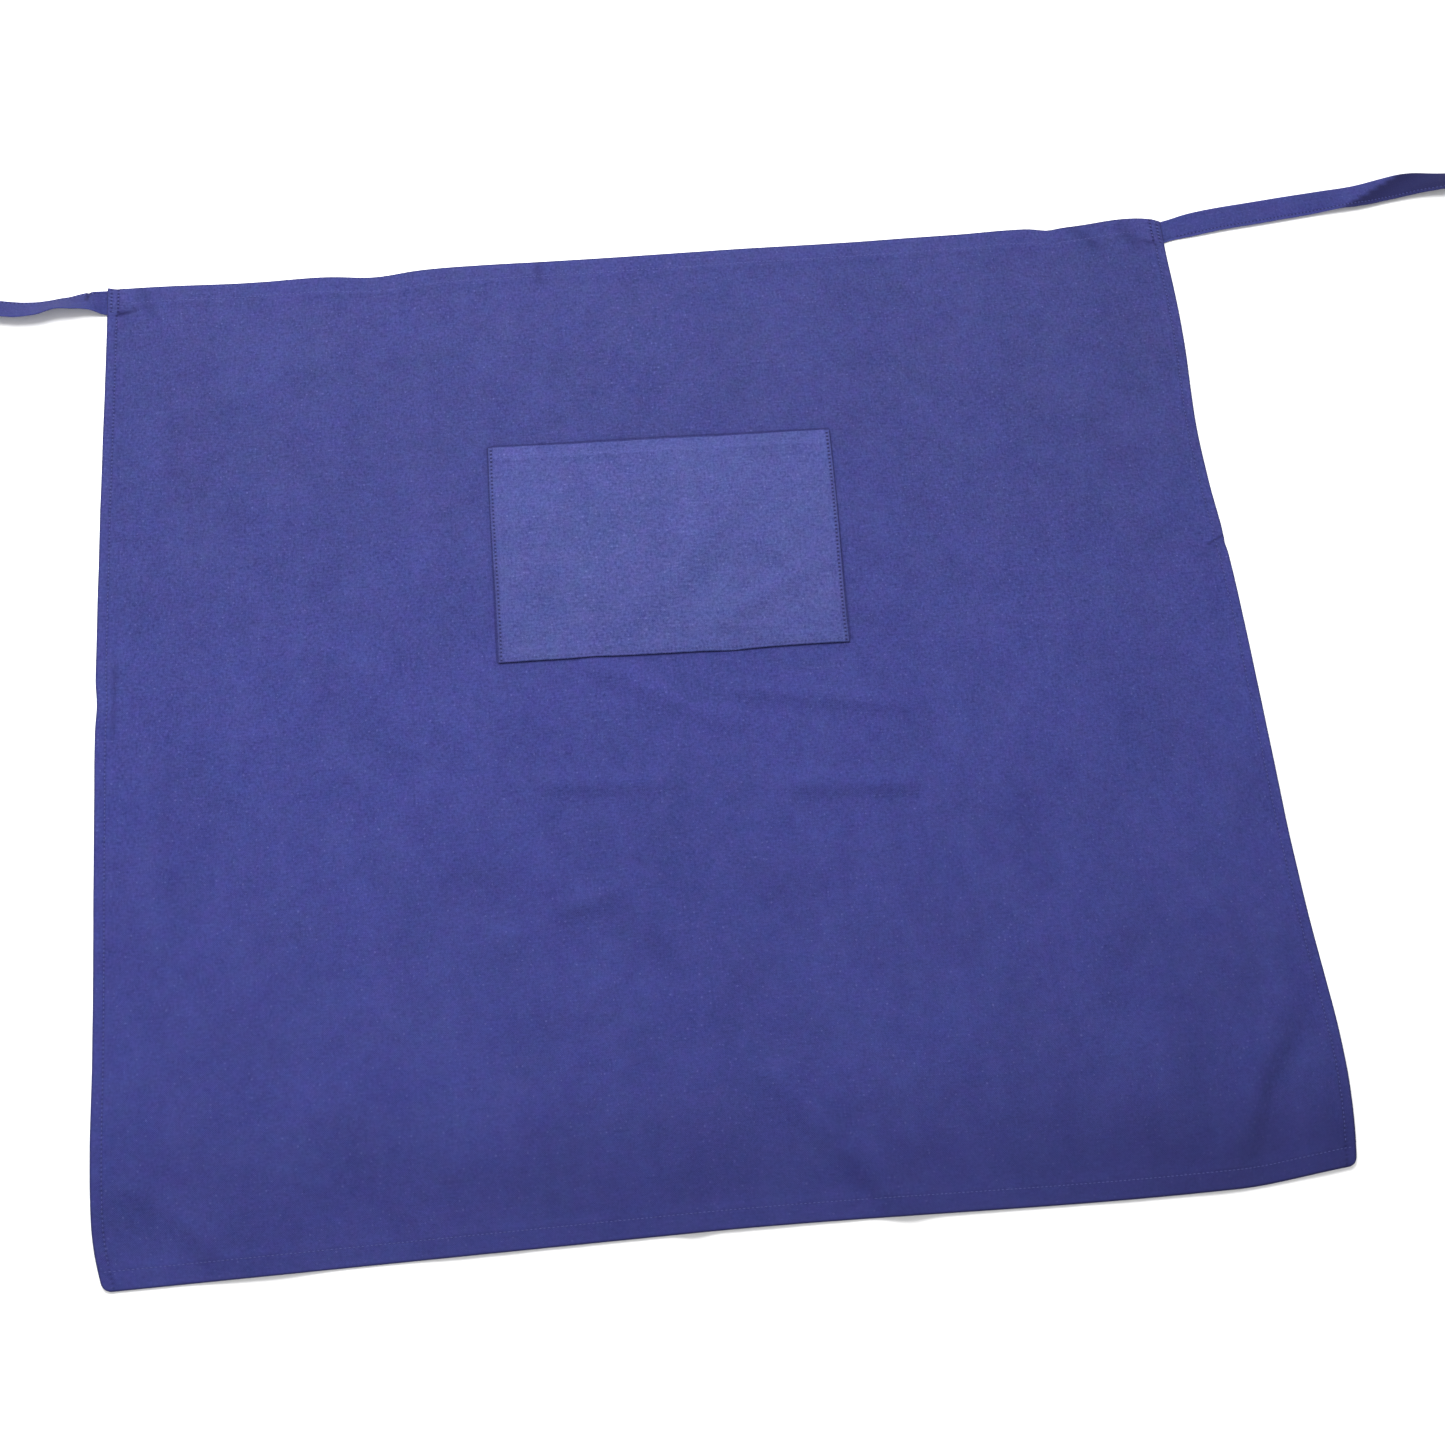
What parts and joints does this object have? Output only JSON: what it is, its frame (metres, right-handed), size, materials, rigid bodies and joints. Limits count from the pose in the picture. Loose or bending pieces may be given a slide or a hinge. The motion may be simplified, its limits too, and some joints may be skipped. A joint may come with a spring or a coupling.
{
  "type": "welding apron",
  "caption": "Blue cotton waist apron laid flat, front up, with a sewn patch pocket and a tie at each top corner that ends in a flat roll.",
  "frame": {"origin": "middle of the panel's back face", "axes": "+X along the waist to the right as seen from the front, +Y from the bottom hem to the waist edge, +Z out of the front face"},
  "size_m": [1.2857, 0.7387, 0.0201],
  "materials": {
    "panel_cloth": "plain-weave cotton, matt, slightly faded royal blue",
    "pocket_cloth": "plain-weave cotton, matt, a lighter royal blue",
    "tie_cloth": "folded plain-weave cotton tape, matt royal blue",
    "thread": "sewing thread, satin, royal blue"
  },
  "bodies": {
    "panel": {"body_panel": "panel_cloth", "pocket_panel": "pocket_cloth", "left_hem_needle_thread": "thread", "left_hem_bobbin_thread": "thread", "right_hem_needle_thread": "thread", "right_hem_bobbin_thread": "thread", "waist_hem_needle_thread": "thread", "waist_hem_bobbin_thread": "thread", "bottom_hem_needle_thread": "thread", "bottom_hem_bobbin_thread": "thread", "pocket_mouth_needle_thread": "thread", "pocket_mouth_bobbin_thread": "thread", "pocket_seam_needle_thread": "thread", "pocket_seam_bobbin_thread": "thread", "left_tie_tab": "tie_cloth", "left_anchor_needle_thread": "thread", "left_anchor_bobbin_thread": "thread", "right_tie_tab": "tie_cloth", "right_anchor_needle_thread": "thread", "right_anchor_bobbin_thread": "thread"},
    "left_tie": {"left_tie_strap": "tie_cloth", "left_tie_roll": "tie_cloth", "left_tie_edge_needle_thread": "thread", "left_tie_edge_bobbin_thread": "thread"},
    "right_tie": {"right_tie_strap": "tie_cloth", "right_tie_roll": "tie_cloth", "right_tie_edge_needle_thread": "thread", "right_tie_edge_bobbin_thread": "thread"}
  },
  "joints": [
    {"name": "left_tie_fold", "type": "hinge", "parent": "panel", "child": "left_tie", "pos_m": [-0.40176, 0.3445, 0.0011], "axis": [0, 1, 0], "range_deg": [-125, 125]},
    {"name": "right_tie_fold", "type": "hinge", "parent": "panel", "child": "right_tie", "pos_m": [0.40176, 0.3445, 0.0011], "axis": [0, -1, 0], "range_deg": [-125, 125]}
  ]
}
